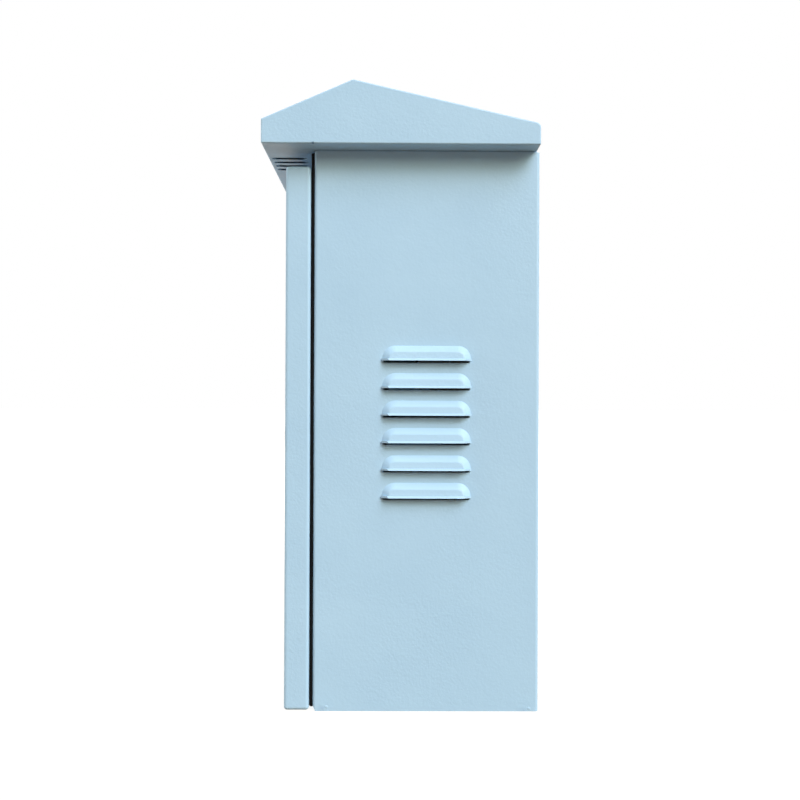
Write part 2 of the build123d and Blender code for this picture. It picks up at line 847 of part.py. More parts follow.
def breaker_terminal_screws():
    """Clamp screws down in the terminal wells of all the breakers."""
    floor = rail_front_y - case_shoulder + terminal_depth
    span = (floor - terminal_screw, floor)
    middles = pole_middles(0, main_poles + branch_count)
    return Compound([rod_y(x, z, span, terminal_radius) for x in middles for z in terminal_heights()])


def rail_stop(side):
    """Stop that keeps the breakers together at one end of the rail."""
    outer_pole = (main_poles + branch_count) * pole_pitch / 2
    spans = mirrored(outer_pole + pole_gap, outer_pole + pole_gap + rail_stop_width)
    x_span = spans[0] if side > 0 else spans[1]
    half = rail_stop_height / 2
    body = block(x_span, (rail_front_y - rail_stop_depth, rail_front_y + case_back), (-half, half))
    body = fillet(body.edges().filter_by(Axis.X), case_edge)
    body -= block(x_span, (rail_front_y, rail_front_y + case_back + overrun), (-rail_recess, rail_recess))
    return Pos(0, 0, rail_height) * body


def bar_middle(side):
    """Middle of the neutral bar, on the left, or the earth bar, on the right."""
    return side * (bar_gap + bar_length) / 2


def bar_support_places(side):
    """Middles of the two supports under a bar, inside its ends."""
    reach = (bar_length - bar_support_width) / 2
    return bar_middle(side) - reach, bar_middle(side) + reach


def bar_terminal_places(side):
    """Middles of a bar's terminals."""
    first = bar_middle(side) - (bar_terminal_count - 1) / 2 * bar_terminal_pitch
    return [first + place * bar_terminal_pitch for place in range(bar_terminal_count)]


def terminal_bar(side):
    """Brass bar with a row of clamp screws over square wire holes."""
    back = plate_front_y - bar_standoff
    front = back - bar_depth
    middle = bar_middle(side)
    z_span = (bar_height - bar_width / 2, bar_height + bar_width / 2)
    bar = block((middle - bar_length / 2, middle + bar_length / 2), (front, back), z_span)
    bar = fillet(bar.edges().filter_by(Axis.X), bar_edge_radius)
    half_wire = bar_wire_width / 2
    for x in bar_terminal_places(side):
        bar -= rod_y(x, bar_height, (front - overrun, back - half_wire), bar_screw_shank + fit_gap)
        wire_y_span = (back - bar_wire_width, back - bar_wire_wall)
        bar -= block((x - half_wire, x + half_wire), wire_y_span, z_span)
    return bar


def bar_screws():
    """Clamp screws of both bars."""
    front = plate_front_y - bar_standoff - bar_depth
    screws = []
    for side in (-1, 1):
        for x in bar_terminal_places(side):
            head = rod_y(x, bar_height, (front - bar_screw_head, front), bar_screw_radius)
            shank = rod_y(x, bar_height, (front, front + bar_screw_reach), bar_screw_shank)
            screws.append(head + shank)
    return Compound(screws)


def bar_supports(side):
    """Two blocks that carry a bar off the mounting plate."""
    half = bar_support_width / 2
    z_span = (bar_height - bar_support_height / 2, bar_height + bar_support_height / 2)
    supports = []
    for x in bar_support_places(side):
        support = block((x - half, x + half), (plate_front_y - bar_standoff, plate_front_y), z_span)
        supports.append(chamfer(support.edges().filter_by(Axis.Z), bar_support_bevel))
    return Compound(supports)


def gland_screw_places():
    """Corners where the gland plate is screwed to the bottom plate."""
    x = entry_width / 2 + gland_margin / 2
    y = entry_depth / 2 + gland_margin / 2
    return [(i * x, entry_y + j * y) for i in (-1, 1) for j in (-1, 1)]


def gland_blank(z_span, corner):
    """Rounded plate that overlaps the cable entry all round, with its screw holes."""
    half_x = entry_width / 2 + gland_margin
    half_y = entry_depth / 2 + gland_margin
    blank = block((-half_x, half_x), (entry_y - half_y, entry_y + half_y), z_span)
    blank = fillet(blank.edges().filter_by(Axis.Z), corner)
    for x, y in gland_screw_places():
        blank -= rod_z(x, y, (z_span[0] - overrun, z_span[1] + overrun), gland_screw_shank + fit_gap)
    return blank


def gland_plate_gasket():
    """Flat seal round the cable entry."""
    z_span = (sheet, sheet + gland_gasket)
    opening = block(
        (-entry_width / 2, entry_width / 2),
        (entry_y - entry_depth / 2, entry_y + entry_depth / 2),
        (z_span[0] - overrun, z_span[1] + overrun),
    )
    return gland_blank(z_span, gland_corner) - fillet(opening.edges().filter_by(Axis.Z), gland_corner)


def grommet_places():
    """Middles of the cable grommets along the gland plate."""
    half_row = (grommet_count - 1) / 2
    return [(place - half_row) * grommet_pitch for place in range(grommet_count)]


def gland_plate():
    """Removable plate over the cable entry, with a hole for each grommet."""
    z_span = (gland_bottom_z, gland_bottom_z + gland_sheet)
    plate = gland_blank(z_span, gland_corner)
    for x in grommet_places():
        plate -= rod_z(x, entry_y, (z_span[0] - overrun, z_span[1] + overrun), grommet_hole_radius)
    return plate


def gland_plate_screws():
    """Screws at the gland plate's corners."""
    seat = gland_bottom_z + gland_sheet
    screws = []
    for x, y in gland_screw_places():
        head = rod_z(x, y, (seat, seat + gland_screw_head), gland_screw_radius)
        screws.append(head + rod_z(x, y, (running_gap, seat), gland_screw_shank))
    return Compound(screws)


def cable_grommet(x):
    """Closed rubber grommet snapped into the gland plate, turned about its axis."""
    low = gland_bottom_z
    high = gland_bottom_z + gland_sheet
    neck = grommet_hole_radius - fit_gap
    flange = grommet_hole_radius + grommet_flange
    top = high + grommet_lip
    points = [
        (0, low),
        (neck - grommet_wall, low - grommet_lip),
        (flange - grommet_lip, low - grommet_lip),
        (flange - grommet_lip, low),
        (neck, low),
        (neck, high),
        (flange, high),
        (flange, top),
        (neck, top),
        (grommet_tip_radius, top + grommet_dome),
        (0, top + grommet_dome),
    ]
    outline = make_face(Polyline(*points, close=True))
    return Pos(x, entry_y, 0) * revolve(Plane.XZ * outline, Axis.Z)


def earth_pair_z(x, y, base):
    """Upright earth stud and its nut."""
    stud = rod_z(x, y, (base, base + earth_stud_length), earth_stud_radius)
    span = (base + nut_thickness, base + 2 * nut_thickness)
    nut = hexagon_z(x, y, span, nut_width) - rod_z(x, y, span, earth_stud_radius + fit_gap)
    return stud, nut


def earth_pair_y(x, z, base):
    """Earth stud and nut that point back from the door."""
    stud = rod_y(x, z, (base, base + earth_stud_length), earth_stud_radius)
    span = (base + nut_thickness, base + 2 * nut_thickness)
    nut = hexagon_y(x, z, span, nut_width) - rod_y(x, z, span, earth_stud_radius + fit_gap)
    return stud, nut


nodes = {
    "body_wrapper": body_wrapper(),
    "top_plate": top_plate(),
    "bottom_plate": bottom_plate(),
    "roof_hood": roof_hood(),
    "roof_bolts": roof_bolts(),
    "roof_nuts": roof_nuts(),
    "door_panel": door_panel(),
    "door_gasket": door_gasket(),
    "door_stiffener": door_stiffener(),
    "lock_housing": lock_housing(),
    "lock_nut": lock_nut(),
    "lock_core": lock_core(),
    "lock_cam": lock_cam(),
    "lock_cam_screw": lock_cam_screw(),
    "mounting_plate": mounting_plate(),
    "plate_studs": plate_studs(),
    "plate_spacers": plate_spacers(),
    "plate_nuts": plate_nuts(),
    "mounting_rail": mounting_rail(),
    "rail_screws": rail_screws(),
    "left_rail_stop": rail_stop(-1),
    "right_rail_stop": rail_stop(1),
    "main_breaker": breaker_case(0, main_poles),
    "main_toggle": breaker_toggle(0, main_poles),
    "breaker_terminal_screws": breaker_terminal_screws(),
    "neutral_bar": terminal_bar(-1),
    "neutral_insulators": bar_supports(-1),
    "earth_bar": terminal_bar(1),
    "earth_supports": bar_supports(1),
    "bar_screws": bar_screws(),
    "gland_plate_gasket": gland_plate_gasket(),
    "gland_plate": gland_plate(),
    "gland_plate_screws": gland_plate_screws(),
}
for branch in range(branch_count):
    nodes[f"branch_breaker_{branch + 1}"] = breaker_case(main_poles + branch, 1)
    nodes[f"branch_toggle_{branch + 1}"] = breaker_toggle(main_poles + branch, 1)
for place, grommet_x in enumerate(grommet_places(), 1):
    nodes[f"cable_grommet_{place}"] = cable_grommet(grommet_x)
for level, hinge_z in (("lower", door_bottom_z + hinge_inset), ("upper", door_top_z - hinge_inset)):
    for piece, solid in zip(("frame_leaf", "door_leaf", "pin", "washer"), hinge(hinge_z)):
        nodes[f"{level}_hinge_{piece}"] = solid
nodes["body_earth_stud"], nodes["body_earth_nut"] = earth_pair_z(earth_stud_x, entry_y, sheet)
nodes["door_earth_stud"], nodes["door_earth_nut"] = earth_pair_y(earth_stud_x, door_stud_z, door_inner_y)

os.makedirs("parts", exist_ok=True)
for name, shape in nodes.items():
    export_step(shape, f"parts/{name}.step")
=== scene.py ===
import json
from math import cos, pi, radians, sin, tan

import bmesh
import bpy
from mathutils import Matrix, Vector


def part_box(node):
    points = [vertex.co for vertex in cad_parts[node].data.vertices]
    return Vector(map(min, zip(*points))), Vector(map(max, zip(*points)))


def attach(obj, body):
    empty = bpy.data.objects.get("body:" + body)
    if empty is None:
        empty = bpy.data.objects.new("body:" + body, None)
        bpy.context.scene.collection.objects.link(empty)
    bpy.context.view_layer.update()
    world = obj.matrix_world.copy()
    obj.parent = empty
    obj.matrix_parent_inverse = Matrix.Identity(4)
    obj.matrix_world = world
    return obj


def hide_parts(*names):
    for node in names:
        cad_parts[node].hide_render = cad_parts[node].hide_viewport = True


# A small outdoor sheet-steel utility cabinet with a gabled rain hood, in a plain pale studio.
# Metres, +Z up, the door faces -Y, the camera looks along -X at the louvred side.

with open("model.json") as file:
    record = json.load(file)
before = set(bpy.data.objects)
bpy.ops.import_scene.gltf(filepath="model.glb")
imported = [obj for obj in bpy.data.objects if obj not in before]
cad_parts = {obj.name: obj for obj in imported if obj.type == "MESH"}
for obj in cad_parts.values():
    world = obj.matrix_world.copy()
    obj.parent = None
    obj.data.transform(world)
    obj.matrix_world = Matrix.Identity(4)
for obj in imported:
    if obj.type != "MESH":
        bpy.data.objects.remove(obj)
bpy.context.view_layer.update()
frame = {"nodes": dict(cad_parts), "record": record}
nodes = frame["nodes"]
record = frame["record"]
slot_of = {row["node"]: row["material_slot"] for row in record["subparts"]}
body_of = {node: body for body, members in record["behaviour"]["bodies"].items() for node in members}

# Directions, axes and angles in degrees
up = Vector((0, 0, 1))
down = Vector((0, 0, -1))
front = Vector((0, -1, 0))
rear = Vector((0, 1, 0))
right = Vector((1, 0, 0))
left = Vector((-1, 0, 0))
x_axis = 0
z_axis = 2
right_angle = 90.0

# Camera
camera_place = (0.9779, -0.0070, 0.2474)
camera_yaw = 0.449
camera_pitch = 0.157
camera_roll = 0.229
camera_lens = 43.62
camera_sensor = 36.0

# Broad soft key from high on the camera's right: elevation, strength and colour of its two parts
key_bearing = 38.0
key_spread = 36.0
key_parts = {
    "low_key": (29.0, 2.20, (1.00, 0.970, 0.780)),
    "high_key": (47.0, 2.56, (0.753, 0.799, 1.00)),
}

# Weaker soft boxes round the other sides: place and power
side_lamps = {
    "front": ((0.00, -4.00, 1.70), 130.0),
    "left": ((-4.00, -0.60, 1.70), 115.0),
    "rear": ((-0.80, 4.00, 1.70), 14.0),
}
side_size = 3.2
lamp_target = (0.0, 0.0, 0.25)

# World
white = (1.0, 1.0, 1.0)
world_light = 0.035
world_colour = (1.0, 0.88, 0.70)

# Floor
floor_half = 30.0
floor_colour = (0.138, 0.080, 0.038)
floor_roughness = 0.9
floor_glow = 0.95
floor_glow_colour = (0.95, 0.99, 1.0)
floor_near = 0.5
floor_far = 1.6

# Shading and welding of the added meshes
sharp_angle = 32.0
weld_distance = 0.00002

# Threads
thread_pitch = 0.0010
thread_depth = 0.00055
thread_bevel = 0.0008
thread_rows = 6
thread_steps = 24

# Nuts
hex_sides = 6
nut_steps = 48
nut_face_share = 0.95
nut_bevel_angle = 30.0
nut_bevel = 0.0006
nut_bevel_shares = (0.0, 0.25, 0.5, 0.75, 1.0)
nut_turn = 0.7
stud_bore = 0.0030
lock_bore = 0.0110

# Driven screws: head height and shank radius of each kind
screw_sizes = {
    "rail_screws": (0.0025, 0.0020),
    "bar_screws": (0.0022, 0.0020),
    "breaker_terminal_screws": (0.0024, 0.0020),
    "gland_plate_screws": (0.0025, 0.0020),
    "lock_cam_screw": (0.0035, 0.0025),
    "roof_bolts": (0.0030, 0.0030),
}
screw_steps = 32
head_shares = ((1.0, 0.0), (1.0, 0.45), (0.96, 0.70), (0.86, 0.88), (0.72, 1.0))
recess_depth_share = 0.6
recess_floor_share = 0.7
cross_arms = 4
cross_arm_share = 0.55
cross_half_share = 0.10
slot_arm_share = 0.66
slot_half_share = 0.09
socket_share = 0.52

# Hinge screws
hinge_screw_radius = 0.0034
hinge_screw_head = 0.0012
hinge_screw_shank = 0.0017
hinge_screw_length = 0.0015
hinge_screw_end = 0.012
frame_leaf_screw_inset = 0.0125
door_leaf_screw_inset = 0.006
hinge_leaf_thickness = 0.0025

# Rail stop screws
stop_screw_radius = 0.0028
stop_screw_head = 0.0014
stop_screw_shank = 0.0015
stop_screw_length = 0.0030

# Weld marks
weld_height = 0.0002
weld_steps = 20
weld_shares = ((1.0, 0.0), (0.92, 0.45), (0.65, 0.85), (0.25, 1.0))
wall_weld_radius = 0.0013
wall_weld_places = ((-0.0587, 0.0054), (0.1027, 0.0042))
brim_weld_radius = 0.0028
brim_weld_inset = 0.006
brim_weld_count = 6
brim_sheet = 0.0015

# Seals: outline as shares of width and height
seal_width = 0.009
seal_shares = (
    (0.0, 0.0), (0.0, 0.55), (0.08, 0.85), (0.20, 1.0), (0.34, 0.90), (0.50, 0.62),
    (0.66, 0.90), (0.80, 1.0), (0.92, 0.85), (1.0, 0.55), (1.0, 0.0),
)
flat_seal_width = 0.016
flat_seal_corner = 0.006
flat_seal_least_corner = 0.001
flat_seal_steps = 6
flat_seal_shares = (
    (0.03, 0.0), (0.0, 0.25), (0.0, 0.75), (0.03, 1.0),
    (0.97, 1.0), (1.0, 0.75), (1.0, 0.25), (0.97, 0.0),
)

# Grommets
grommet_count = 3
grommet_steps = 56
grommet_neck = 0.01595
grommet_lip = 0.0185
grommet_edge = 0.0004
grommet_lip_height = 0.0015
grommet_neck_height = 0.0020
grommet_treads = 4
grommet_crown = 0.0050

# Noise: its usual range, and how finely it is divided
noise_low = 0.3
noise_high = 0.7
coarse_detail = 1.0
plain_detail = 2.0
fine_detail = 3.0
even_stretch = (1.0, 1.0, 1.0)

# Sockets of a colour mix
mix_factor = 0
mix_first = 6
mix_second = 7
mix_result = 2

# Powder coat, with its orange peel
paint_blue = (0.455, 0.666, 0.826)
paint_blue_deep = (0.431, 0.638, 0.800)
paint_patch = 0.060
paint_grain = 0.012
paint_roughness = (0.38, 0.50)
paint_specular = 0.35
peel_wave = 0.0080
peel_wave_height = 0.00012
peel_grain = 0.0022
peel_height = 0.00017
peel_patch = 0.110
peel_least_share = 0.35

# Galvanised sheet
zinc_light = (0.57, 0.58, 0.59)
zinc_dark = (0.47, 0.48, 0.50)
spangle_size = 0.006
spangle_roughness = (0.40, 0.50)
zinc_relief = 0.004
zinc_height = 0.00003

# Zinc plating
plating_light = (0.60, 0.60, 0.59)
plating_dark = (0.54, 0.54, 0.54)
plating_patch = 0.010
plating_grain = 0.0015
plating_roughness = (0.30, 0.40)
plating_relief = 0.0008
plating_height = 0.00001

# Brass
brass_light = (0.76, 0.55, 0.24)
brass_dark = (0.55, 0.36, 0.12)
brass_patch = 0.010
brass_line = 0.0006
brass_stretch = (0.04, 1.0, 1.0)
brass_roughness = (0.24, 0.40)
brass_height = 0.00002

# Foam: a black seal, made darker than the rubber as painted shade in the door gap
foam_black_and_gap_shade = (0.005, 0.005, 0.006)
foam_grey_and_gap_shade = (0.010, 0.010, 0.011)
foam_patch = 0.0015
foam_grain = 0.003
foam_roughness = (0.75, 0.92)
foam_specular = 0.10
foam_wave = 0.010
foam_wave_height = 0.0002
foam_pore = 0.0008
foam_pore_height = 0.00008

# Rubber
rubber_black = (0.014, 0.014, 0.015)
rubber_grey = (0.030, 0.030, 0.031)
rubber_patch = 0.008
rubber_grain = 0.002
rubber_roughness = (0.50, 0.68)
rubber_relief = 0.0012
rubber_height = 0.00004

# Moulded plastics
moulded_patch = 0.020
moulded_grain = 0.0010
moulded_relief = 0.0005
moulded_height = 0.00002
case_pale = (0.70, 0.70, 0.68)
case_shade = (0.60, 0.60, 0.58)
case_roughness = (0.42, 0.55)
toggle_black = (0.018, 0.018, 0.020)
toggle_grey = (0.034, 0.034, 0.036)
toggle_roughness = (0.24, 0.34)
insulator_blue = (0.035, 0.130, 0.380)
insulator_deep = (0.020, 0.090, 0.290)
insulator_roughness = (0.36, 0.48)

# Lock plating
lock_light = (0.62, 0.62, 0.63)
lock_dark = (0.57, 0.57, 0.58)
lock_patch = 0.006
lock_grain = 0.0010
lock_roughness = (0.22, 0.34)
lock_relief = 0.0006
lock_height = 0.000008


def opaque(colour):
    """A colour with its alpha."""
    return (*colour, 1.0)


class Finish:
    """A node material around one principled shader, mapped in the frame's own metres."""

    def __init__(self, name):
        self.material = bpy.data.materials.new(name)
        self.material.use_nodes = True
        self.tree = self.material.node_tree
        self.shader = self.tree.nodes["Principled BSDF"]
        self.place = self.add("ShaderNodeTexCoord").outputs["Object"]

    def add(self, kind, **settings):
        """A new node with its settings."""
        node = self.tree.nodes.new(kind)
        for key, value in settings.items():
            setattr(node, key, value)
        return node

    def link(self, source, target):
        """A link between two sockets."""
        self.tree.links.new(source, target)

    def plain(self, socket, value):
        """One value all over the surface."""
        self.shader.inputs[socket].default_value = value

    def stretched(self, stretch):
        """The frame's place, stretched along its axes."""
        mapping = self.add("ShaderNodeMapping")
        mapping.inputs["Scale"].default_value = stretch
        self.link(self.place, mapping.inputs["Vector"])
        return mapping.outputs["Vector"]

    def noise(self, period, detail=plain_detail, stretch=even_stretch):
        """Noise whose grains are about one period across."""
        texture = self.add("ShaderNodeTexNoise")
        texture.inputs["Scale"].default_value = 1.0 / period
        texture.inputs["Detail"].default_value = detail
        self.link(self.stretched(stretch), texture.inputs["Vector"])
        return texture.outputs["Fac"]

    def cells(self, period):
        """A random grey for each cell of crystals about one period across."""
        texture = self.add("ShaderNodeTexVoronoi")
        texture.inputs["Scale"].default_value = 1.0 / period
        self.link(self.place, texture.inputs["Vector"])
        grey = self.add("ShaderNodeRGBToBW")
        self.link(texture.outputs["Color"], grey.inputs["Color"])
        return grey.outputs["Val"]

    def spread(self, source, low, high):
        """The source's usual range mapped to low and high."""
        spread = self.add("ShaderNodeMapRange")
        spread.inputs["From Min"].default_value = noise_low
        spread.inputs["From Max"].default_value = noise_high
        spread.inputs["To Min"].default_value = low
        spread.inputs["To Max"].default_value = high
        self.link(source, spread.inputs["Value"])
        return spread.outputs["Result"]

    def product(self, first, second):
        """One source times another."""
        times = self.add("ShaderNodeMath", operation="MULTIPLY")
        self.link(first, times.inputs[0])
        self.link(second, times.inputs[1])
        return times.outputs[0]

    def colour_between(self, source, first, second):
        """Colour that goes from the first to the second with the source."""
        mix = self.add("ShaderNodeMix", data_type="RGBA")
        mix.inputs[mix_first].default_value = opaque(first)
        mix.inputs[mix_second].default_value = opaque(second)
        self.link(self.spread(source, 0.0, 1.0), mix.inputs[mix_factor])
        self.link(mix.outputs[mix_result], self.shader.inputs["Base Color"])

    def roughness_between(self, source, low, high):
        """Roughness that goes from low to high with the source."""
        self.link(self.spread(source, low, high), self.shader.inputs["Roughness"])

    def bump(self, *layers):
        """Bump from several (source, height) layers, the coarse one first."""
        normal = None
        for source, height in layers:
            bump = self.add("ShaderNodeBump")
            bump.inputs["Distance"].default_value = height
            self.link(source, bump.inputs["Height"])
            if normal is not None:
                self.link(normal, bump.inputs["Normal"])
            normal = bump.outputs["Normal"]
        self.link(normal, self.shader.inputs["Normal"])


def powder_coat():
    """Satin blue powder coat with a fine orange peel that is stronger in patches."""
    finish = Finish("powder_coat")
    finish.colour_between(finish.noise(paint_patch, fine_detail), paint_blue, paint_blue_deep)
    finish.roughness_between(finish.noise(paint_grain), *paint_roughness)
    finish.plain("Specular IOR Level", paint_specular)
    patches = finish.spread(finish.noise(peel_patch), peel_least_share, 1.0)
    peel = finish.product(finish.noise(peel_grain, coarse_detail), patches)
    finish.bump((finish.noise(peel_wave), peel_wave_height), (peel, peel_height))
    return finish.material


def zinc_sheet():
    """Galvanised sheet with its spangle."""
    finish = Finish("galvanised")
    finish.plain("Metallic", 1.0)
    spangle = finish.cells(spangle_size)
    finish.colour_between(spangle, zinc_light, zinc_dark)
    finish.roughness_between(spangle, *spangle_roughness)
    finish.bump((finish.noise(zinc_relief), zinc_height))
    return finish.material


def zinc_plate():
    """Bright zinc plating on fasteners and hinges."""
    finish = Finish("fasteners")
    finish.plain("Metallic", 1.0)
    finish.colour_between(finish.noise(plating_patch), plating_light, plating_dark)
    finish.roughness_between(finish.noise(plating_grain), *plating_roughness)
    finish.bump((finish.noise(plating_relief, coarse_detail), plating_height))
    return finish.material


def brass():
    """Drawn brass with faint lines along its length."""
    finish = Finish("brass")
    finish.plain("Metallic", 1.0)
    finish.colour_between(finish.noise(brass_patch), brass_light, brass_dark)
    lines = finish.noise(brass_line, plain_detail, brass_stretch)
    finish.roughness_between(lines, *brass_roughness)
    finish.bump((lines, brass_height))
    return finish.material


def foam():
    """Foamed rubber of the seals, near black: partly its own colour, partly painted shade for the door gap.
    """
    finish = Finish("gasket_foam")
    # Near-black seal colours: the seal's own black, darkened further as painted shade in the door gap
    finish.colour_between(finish.noise(foam_patch), foam_black_and_gap_shade, foam_grey_and_gap_shade)
    finish.roughness_between(finish.noise(foam_grain), *foam_roughness)
    finish.plain("Specular IOR Level", foam_specular)
    finish.bump((finish.noise(foam_wave), foam_wave_height), (finish.noise(foam_pore), foam_pore_height))
    return finish.material


def rubber():
    """Moulded rubber."""
    finish = Finish("grommet_rubber")
    finish.colour_between(finish.noise(rubber_patch), rubber_black, rubber_grey)
    finish.roughness_between(finish.noise(rubber_grain), *rubber_roughness)
    finish.bump((finish.noise(rubber_relief), rubber_height))
    return finish.material


def moulded(name, first, second, roughness):
    """Moulded plastic with a spark-eroded grain."""
    finish = Finish(name)
    finish.colour_between(finish.noise(moulded_patch), first, second)
    finish.roughness_between(finish.noise(moulded_grain), *roughness)
    finish.bump((finish.noise(moulded_relief, coarse_detail), moulded_height))
    return finish.material


def lock_plating():
    """Satin plating on the lock's die casting."""
    finish = Finish("lock_zinc")
    finish.plain("Metallic", 1.0)
    finish.colour_between(finish.noise(lock_patch), lock_light, lock_dark)
    finish.roughness_between(finish.noise(lock_grain), *lock_roughness)
    finish.bump((finish.noise(lock_relief, coarse_detail), lock_height))
    return finish.material


materials = {
    "powder_coat": powder_coat(),
    "galvanised": zinc_sheet(),
    "fasteners": zinc_plate(),
    "brass": brass(),
    "gasket_foam": foam(),
    "grommet_rubber": rubber(),
    "breaker_case": moulded("breaker_case", case_pale, case_shade, case_roughness),
    "breaker_toggle": moulded("breaker_toggle", toggle_black, toggle_grey, toggle_roughness),
    "insulator": moulded("insulator", insulator_blue, insulator_deep, insulator_roughness),
    "lock_zinc": lock_plating(),
}


def dress_nodes():
    """Each solid takes the finish of its material slot."""
    for node, slot in slot_of.items():
        mesh = nodes[node].data
        mesh.materials.clear()
        mesh.materials.append(materials[slot])


def solids_of(node):
    """Lowest and highest corner of each separate solid of a node, in order along the frame."""
    shape = bmesh.new()
    shape.from_mesh(nodes[node].data)
    bmesh.ops.remove_doubles(shape, verts=shape.verts, dist=weld_distance)
    shape.verts.index_update()
    shape.verts.ensure_lookup_table()
    seen = set()
    boxes = []
    for first in shape.verts:
        if first.index in seen:
            continue
        seen.add(first.index)
        waiting = [first]
        places = []
        while waiting:
            vert = waiting.pop()
            places.append(vert.co.copy())
            for edge in vert.link_edges:
                other = edge.other_vert(vert)
                if other.index not in seen:
                    seen.add(other.index)
                    waiting.append(other)
        low = Vector([min(values) for values in zip(*places)])
        high = Vector([max(values) for values in zip(*places)])
        boxes.append((low, high))
    shape.free()
    return sorted(boxes, key=lambda box: tuple(box[0]))


def pointing(place, direction):
    """Matrix whose own Z points that way from a place."""
    return Matrix.Translation(place) @ up.rotation_difference(direction).to_matrix().to_4x4()


def length_along(box, direction):
    """A box's length along a direction."""
    low, high = box
    return abs((high - low).dot(direction))


def width_across(box, direction):
    """A box's smaller width across a direction."""
    low, high = box
    return min(size for size, along in zip(high - low, direction) if along == 0)


def below_tip(box, direction, depth):
    """Place on a box's middle line, a depth below the end that the direction points to."""
    low, high = box
    reach = length_along(box, direction) / 2
    return pointing((low + high) / 2 + direction * (reach - depth), direction)


def ring_of(shape, place, radii, height):
    """Closed ring of vertices about the place's own Z, with a radius for each step."""
    ring = []
    for step, radius in enumerate(radii):
        turn = 2 * pi * step / len(radii)
        ring.append(shape.verts.new(place @ Vector((radius * cos(turn), radius * sin(turn), height))))
    return ring


def skin(shape, rings):
    """Faces between each ring and the next."""
    for lower, upper in zip(rings, rings[1:]):
        for step in range(len(lower)):
            after = (step + 1) % len(lower)
            shape.faces.new((lower[step], lower[after], upper[after], upper[step]))


def close_ends(shape, rings):
    """Faces over the first and last ring."""
    shape.faces.new(rings[0])
    shape.faces.new(rings[-1])


def turned(shape, place, profile, steps):
    """Turned form from radius and height pairs."""
    rings = [ring_of(shape, place, [radius] * steps, height) for radius, height in profile]
    skin(shape, rings)
    close_ends(shape, rings)


def threaded(shape, place, radius, length):
    """Threaded stud from the place upwards, its far end bevelled."""
    rows = round(length / thread_pitch * thread_rows)
    rings = []
    for row in range(rows + 1):
        height = length * row / rows
        limit = radius - max(0.0, thread_bevel - (length - height))
        radii = []
        for step in range(thread_steps):
            phase = (height / thread_pitch - step / thread_steps) % 1.0
            radii.append(min(limit, radius - thread_depth * (1.0 - abs(2.0 * phase - 1.0))))
        rings.append(ring_of(shape, place, radii, height))
    skin(shape, rings)
    close_ends(shape, rings)


def nut(shape, place, flats, thickness, bore):
    """Six-sided nut from the place upwards, both its faces bevelled."""
    corners = []
    for step in range(nut_steps):
        turn = 2 * pi * step / nut_steps
        corners.append(flats / 2 / cos(turn % (2 * pi / hex_sides) - pi / hex_sides))
    rises = [nut_bevel * share for share in nut_bevel_shares]
    lower_side = [(rise, rise) for rise in rises]
    upper_side = [(thickness - rise, rise) for rise in reversed(rises)]
    slope = 1.0 / tan(radians(nut_bevel_angle))
    rings = [ring_of(shape, place, [bore] * nut_steps, 0.0)]
    for height, rise in lower_side + upper_side:
        limit = flats / 2 * nut_face_share + rise * slope
        rings.append(ring_of(shape, place, [min(corner, limit) for corner in corners], height))
    rings.append(ring_of(shape, place, [bore] * nut_steps, thickness))
    skin(shape, rings + rings[:1])


def cross_recess(radius):
    """Outline of a cross recess."""
    arm = radius * cross_arm_share
    half = radius * cross_half_share
    points = [(arm, -half), (arm, half), (half, half)]
    outline = []
    for _ in range(cross_arms):
        outline += points
        points = [(-y, x) for x, y in points]
    return outline


def slot_recess(radius):
    """Outline of a straight slot."""
    arm = radius * slot_arm_share
    half = radius * slot_half_share
    return [(arm, -half), (arm, half), (-arm, half), (-arm, -half)]


def socket_recess(radius):
    """Outline of a six-sided socket."""
    corner = radius * socket_share
    turns = [2 * pi * side / hex_sides for side in range(hex_sides)]
    return [(corner * cos(turn), corner * sin(turn)) for turn in turns]


def driven_screw(shape, seat, radius, head, shank, length, recess):
    """Screw with its head on the seat: a domed head with a driver recess, and a plain shank below."""
    rings = [ring_of(shape, seat, [shank] * screw_steps, -length)]
    rings.append(ring_of(shape, seat, [shank] * screw_steps, 0.0))
    for radius_share, height_share in head_shares:
        rings.append(ring_of(shape, seat, [radius * radius_share] * screw_steps, head * height_share))
    skin(shape, rings)
    shape.faces.new(rings[0])
    floor_height = head * (1.0 - recess_depth_share)
    outline = recess(radius)
    rim = [shape.verts.new(seat @ Vector((x, y, head))) for x, y in outline]
    foot = [
        shape.verts.new(seat @ Vector((x * recess_floor_share, y * recess_floor_share, floor_height)))
        for x, y in outline
    ]
    skin(shape, [foot, rim])
    shape.faces.new(foot)
    top = rings[-1]
    edges = [shape.edges.get((loop[n - 1], loop[n])) for loop in (top, rim) for n in range(len(loop))]
    bmesh.ops.triangle_fill(shape, use_beauty=True, edges=edges)


def add_piece(name, shape, body, slot, *replaced):
    """A finished mesh that moves with a body and stands for the replaced nodes."""
    bmesh.ops.recalc_face_normals(shape, faces=shape.faces)
    mesh = bpy.data.meshes.new(name)
    shape.to_mesh(mesh)
    shape.free()
    mesh.polygons.foreach_set("use_smooth", [True] * len(mesh.polygons))
    mesh.set_sharp_from_angle(angle=radians(sharp_angle))
    mesh.materials.append(materials[slot])
    piece = bpy.data.objects.new(name, mesh)
    bpy.context.scene.collection.objects.link(piece)
    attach(piece, body)
    if replaced:
        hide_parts(*replaced)


def stand_in(node, shape):
    """A finished mesh in place of one node."""
    add_piece("shaped_" + node, shape, body_of[node], slot_of[node], node)


def make_screws(node, direction, recess):
    """Driven screws in place of a node's plain ones."""
    head, shank = screw_sizes[node]
    shape = bmesh.new()
    for box in solids_of(node):
        radius = width_across(box, direction) / 2
        length = length_along(box, direction) - head
        driven_screw(shape, below_tip(box, direction, head), radius, head, shank, length, recess)
    stand_in(node, shape)


def make_studs(node, direction):
    """Threaded studs in place of a node's plain rods."""
    shape = bmesh.new()
    for box in solids_of(node):
        length = length_along(box, direction)
        threaded(shape, below_tip(box, direction, length), width_across(box, direction) / 2, length)
    stand_in(node, shape)


